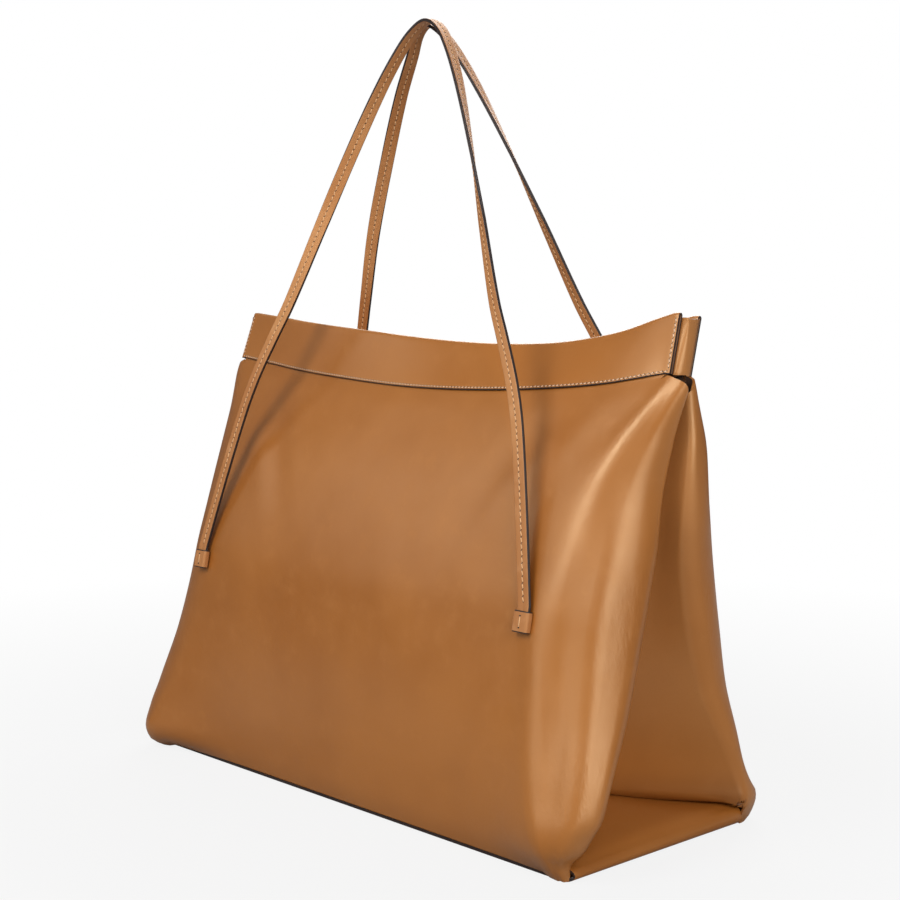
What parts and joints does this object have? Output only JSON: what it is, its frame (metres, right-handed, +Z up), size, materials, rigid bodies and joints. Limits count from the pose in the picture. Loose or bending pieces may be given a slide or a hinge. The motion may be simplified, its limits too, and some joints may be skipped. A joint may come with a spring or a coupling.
{
  "type": "shopper bag",
  "caption": "Soft leather shopper bag with a folded collar round its mouth, side gussets folded inwards and narrow twisting shoulder straps held in small stitched keepers.",
  "frame": {"origin": "on the ground under the middle of the base", "axes": "+Z up, +X along the bag's length to the right seen from the front, front panel towards -Y"},
  "size_m": [0.5561, 0.2311, 0.6245],
  "materials": {
    "base_panel": "smooth satin",
    "base_board": "suede-covered board",
    "front_body": "smooth satin",
    "back_body": "smooth satin",
    "front_collar": "smooth satin",
    "back_collar": "smooth satin",
    "front_collar_stiffener": "matte fibre",
    "back_collar_stiffener": "matte fibre",
    "left_bridge_strip": "smooth satin",
    "right_bridge_strip": "smooth satin",
    "front_left_keeper": "satin, fine grain",
    "front_left_strap_end": "satin, fine grain",
    "front_right_keeper": "satin, fine grain",
    "front_right_strap_end": "satin, fine grain",
    "back_left_keeper": "satin, fine grain",
    "back_left_strap_end": "satin, fine grain",
    "back_right_keeper": "satin, fine grain",
    "back_right_strap_end": "satin, fine grain",
    "front_strap_outer": "satin, fine grain",
    "front_strap_lining": "satin, fine grain",
    "back_strap_outer": "satin, fine grain",
    "back_strap_lining": "satin, fine grain"
  },
  "bodies": {
    "bag": {"base_panel": "base_panel", "base_board": "base_board", "front_body": "front_body", "back_body": "back_body", "front_collar": "front_collar", "back_collar": "back_collar", "front_collar_stiffener": "front_collar_stiffener", "back_collar_stiffener": "back_collar_stiffener", "left_bridge_strip": "left_bridge_strip", "right_bridge_strip": "right_bridge_strip", "front_left_keeper": "front_left_keeper", "front_left_strap_end": "front_left_strap_end", "front_right_keeper": "front_right_keeper", "front_right_strap_end": "front_right_strap_end", "back_left_keeper": "back_left_keeper", "back_left_strap_end": "back_left_strap_end", "back_right_keeper": "back_right_keeper", "back_right_strap_end": "back_right_strap_end"},
    "front_handle": {"front_strap_outer": "front_strap_outer", "front_strap_lining": "front_strap_lining"},
    "back_handle": {"back_strap_outer": "back_strap_outer", "back_strap_lining": "back_strap_lining"}
  },
  "joints": [
    {"name": "front_handle_swing", "type": "hinge", "parent": "bag", "child": "front_handle", "pos_m": [0, -0.08783, 0.18413], "axis": [1, 0, 0], "range_deg": [0, 105]},
    {"name": "back_handle_swing", "type": "hinge", "parent": "bag", "child": "back_handle", "pos_m": [0, 0.08809, 0.18406], "axis": [-1, 0, 0], "range_deg": [0, 105]}
  ]
}
